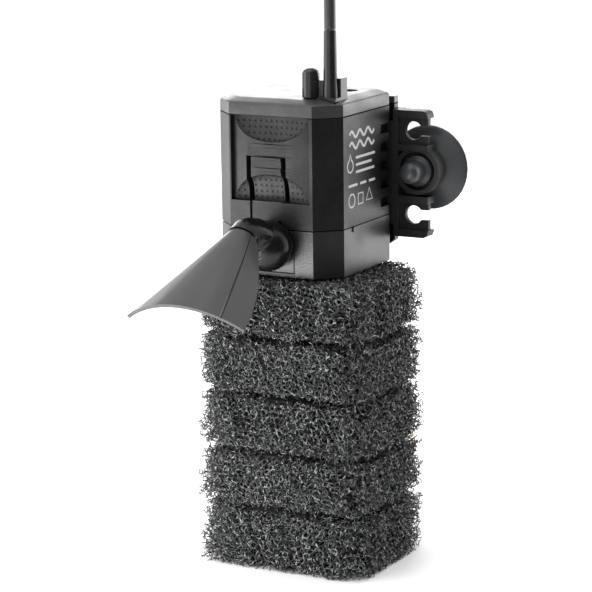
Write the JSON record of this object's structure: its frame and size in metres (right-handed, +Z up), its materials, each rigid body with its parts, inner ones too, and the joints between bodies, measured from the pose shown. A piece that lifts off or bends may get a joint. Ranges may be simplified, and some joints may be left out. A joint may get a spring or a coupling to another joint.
{
  "type": "internal power filter",
  "caption": "Submersible aquarium filter: motor head, pump chamber, swivelling fan outlet, grooved foam block, suction-cup holder and mains lead.",
  "frame": {"origin": "on the floor, on the foam block's bottom face, under the centre of the motor head", "axes": "+Z up along the rotor's axis; -Y is the front, where the water leaves; +X is the side that carries the holder's suction cup"},
  "size_m": [0.098, 0.2064, 0.2153],
  "materials": {
    "casing_plastic": "satin black moulded plastic, semi-gloss",
    "cover_plastic": "satin dark grey moulded plastic",
    "gloss_plastic": "polished black plastic",
    "soft_black": "matt black flexible plastic",
    "cup_rubber": "soft dark grey rubber, smooth",
    "filter_foam": "open-cell reticulated foam, black",
    "lamination_steel": "stacked electrical steel, lacquered",
    "plated_brass": "nickel-plated brass, polished",
    "copper_wire": "enamelled winding wire",
    "nylon": "natural nylon",
    "ceramic": "ground white ceramic",
    "ferrite": "bonded ferrite magnet, dark grey",
    "resin": "cast potting resin, dark"
  },
  "bodies": {
    "head": {"motor_head_shell": "casing_plastic", "top_cover": "cover_plastic", "hose_parking_peg": "gloss_plastic", "cord_gland": "soft_black", "stator_core": "lamination_steel", "coil_bobbin": "nylon", "coil_winding": "copper_wire", "potting_resin": "resin", "rotor_well": "casing_plastic", "upper_shaft_bush": "cup_rubber", "ceramic_shaft": "ceramic", "power_cord_lead": "soft_black", "power_cord_coil": "soft_black", "power_cord_tail": "soft_black", "coil_tie": "soft_black", "plug_body": "soft_black", "plug_pin_left": "plated_brass", "plug_pin_right": "plated_brass"},
    "chamber": {"lower_casing": "casing_plastic", "chamber_seal_ring": "soft_black", "lower_shaft_bush": "cup_rubber", "outlet_insert": "casing_plastic", "intake_strainer": "casing_plastic"},
    "rotor": {"rotor_magnet": "ferrite", "impeller": "nylon"},
    "latch": {"release_latch_tongue": "casing_plastic"},
    "elbow": {"outlet_elbow": "soft_black"},
    "fan": {"fan_deflector": "gloss_plastic"},
    "sponge": {"filter_sponge": "filter_foam"},
    "holder": {"suction_cup_holder": "casing_plastic"},
    "cup": {"suction_cup": "cup_rubber"}
  },
  "joints": [
    {"name": "rotor_spin", "type": "hinge", "parent": "head", "child": "rotor", "pos_m": [0, -0.002, 0.11], "axis": [0, 0, 1], "continuous": true},
    {"name": "chamber_pull_off", "type": "slide", "parent": "head", "child": "chamber", "axis": [0, 0, -1], "range_m": [0, 0.026]},
    {"name": "sponge_pull_off", "type": "slide", "parent": "chamber", "child": "sponge", "axis": [0, 0, -1], "range_m": [0, 0.05]},
    {"name": "latch_press", "type": "hinge", "parent": "head", "child": "latch", "pos_m": [-0.002, -0.0176, 0.1393], "axis": [1, 0, 0], "range_deg": [0, 3], "stiffness_Nm_per_rad": 0.2},
    {"name": "outlet_swivel", "type": "hinge", "parent": "chamber", "child": "elbow", "pos_m": [0.001, -0.0262, 0.1109], "axis": [0, -1, 0], "range_deg": [-90, 90]},
    {"name": "fan_turn", "type": "hinge", "parent": "elbow", "child": "fan", "pos_m": [-0.002, -0.0376, 0.1152], "axis": [-0.0588, -0.8413, -0.5373], "range_deg": [-60, 60]},
    {"name": "holder_slide", "type": "slide", "parent": "head", "child": "holder", "axis": [0, 0, 1], "range_m": [-0.0124, 0.0124]},
    {"name": "cup_turn", "type": "hinge", "parent": "holder", "child": "cup", "pos_m": [0.0317, 0.026, 0.1306], "axis": [0, 1, 0], "continuous": true}
  ]
}
